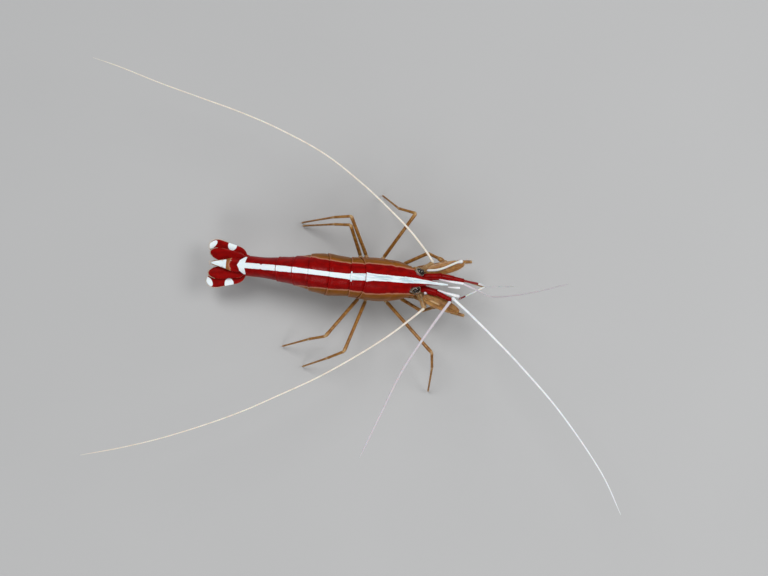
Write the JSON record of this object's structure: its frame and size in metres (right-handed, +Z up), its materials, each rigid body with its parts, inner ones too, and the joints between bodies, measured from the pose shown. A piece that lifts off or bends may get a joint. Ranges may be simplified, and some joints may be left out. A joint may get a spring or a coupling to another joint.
{
  "type": "cleaner shrimp model",
  "caption": "Life-size still model of a cleaner shrimp standing on its walking legs, crimson back with a white stripe, amber flanks, long white feelers and a fanned tail.",
  "frame": {"origin": "middle of the bottom of the box round the whole animal, on the floor that its feet stand on", "axes": "+X from tail to head along the body, +Y to the animal's left, +Z up"},
  "size_m": [0.117, 0.0828, 0.0621],
  "materials": {
    "crimson_shell": "moist glossy shell",
    "amber_flesh": "translucent amber shell and limbs",
    "white_feeler": "opaque white feelers",
    "dark_eye": "wet black eyes"
  },
  "bodies": {
    "root": {"abdomen_1": "crimson_shell", "abdomen_2": "crimson_shell", "abdomen_3": "crimson_shell", "abdomen_4": "crimson_shell", "abdomen_5": "crimson_shell", "abdomen_6": "crimson_shell", "antenna_base_left": "amber_flesh", "antenna_base_right": "amber_flesh", "antenna_left": "white_feeler", "antenna_right": "white_feeler", "antennal_scale_left": "amber_flesh", "antennal_scale_right": "amber_flesh", "antennule_feeler_inner_left": "white_feeler", "antennule_feeler_inner_right": "white_feeler", "antennule_feeler_outer_left": "white_feeler", "antennule_feeler_outer_right": "white_feeler", "antennule_left": "crimson_shell", "antennule_right": "crimson_shell", "carapace": "crimson_shell", "endopod_left": "crimson_shell", "endopod_right": "crimson_shell", "exopod_left": "crimson_shell", "exopod_right": "crimson_shell", "eye_left": "dark_eye", "eye_right": "dark_eye", "eyestalk_left": "amber_flesh", "eyestalk_right": "amber_flesh", "head_front": "amber_flesh", "leg_1_left": "amber_flesh", "leg_1_right": "amber_flesh", "leg_2_left": "amber_flesh", "leg_2_right": "amber_flesh", "leg_3_left": "amber_flesh", "leg_3_right": "amber_flesh", "leg_4_left": "amber_flesh", "leg_4_right": "amber_flesh", "leg_5_left": "amber_flesh", "leg_5_right": "amber_flesh", "maxilliped_left": "amber_flesh", "maxilliped_right": "amber_flesh", "mouthparts": "amber_flesh", "rostrum": "crimson_shell", "swimmeret_1_left": "amber_flesh", "swimmeret_1_right": "amber_flesh", "swimmeret_2_left": "amber_flesh", "swimmeret_2_right": "amber_flesh", "swimmeret_3_left": "amber_flesh", "swimmeret_3_right": "amber_flesh", "swimmeret_4_left": "amber_flesh", "swimmeret_4_right": "amber_flesh", "swimmeret_5_left": "amber_flesh", "swimmeret_5_right": "amber_flesh", "telson": "crimson_shell", "thorax": "amber_flesh"}
  },
  "joints": []
}
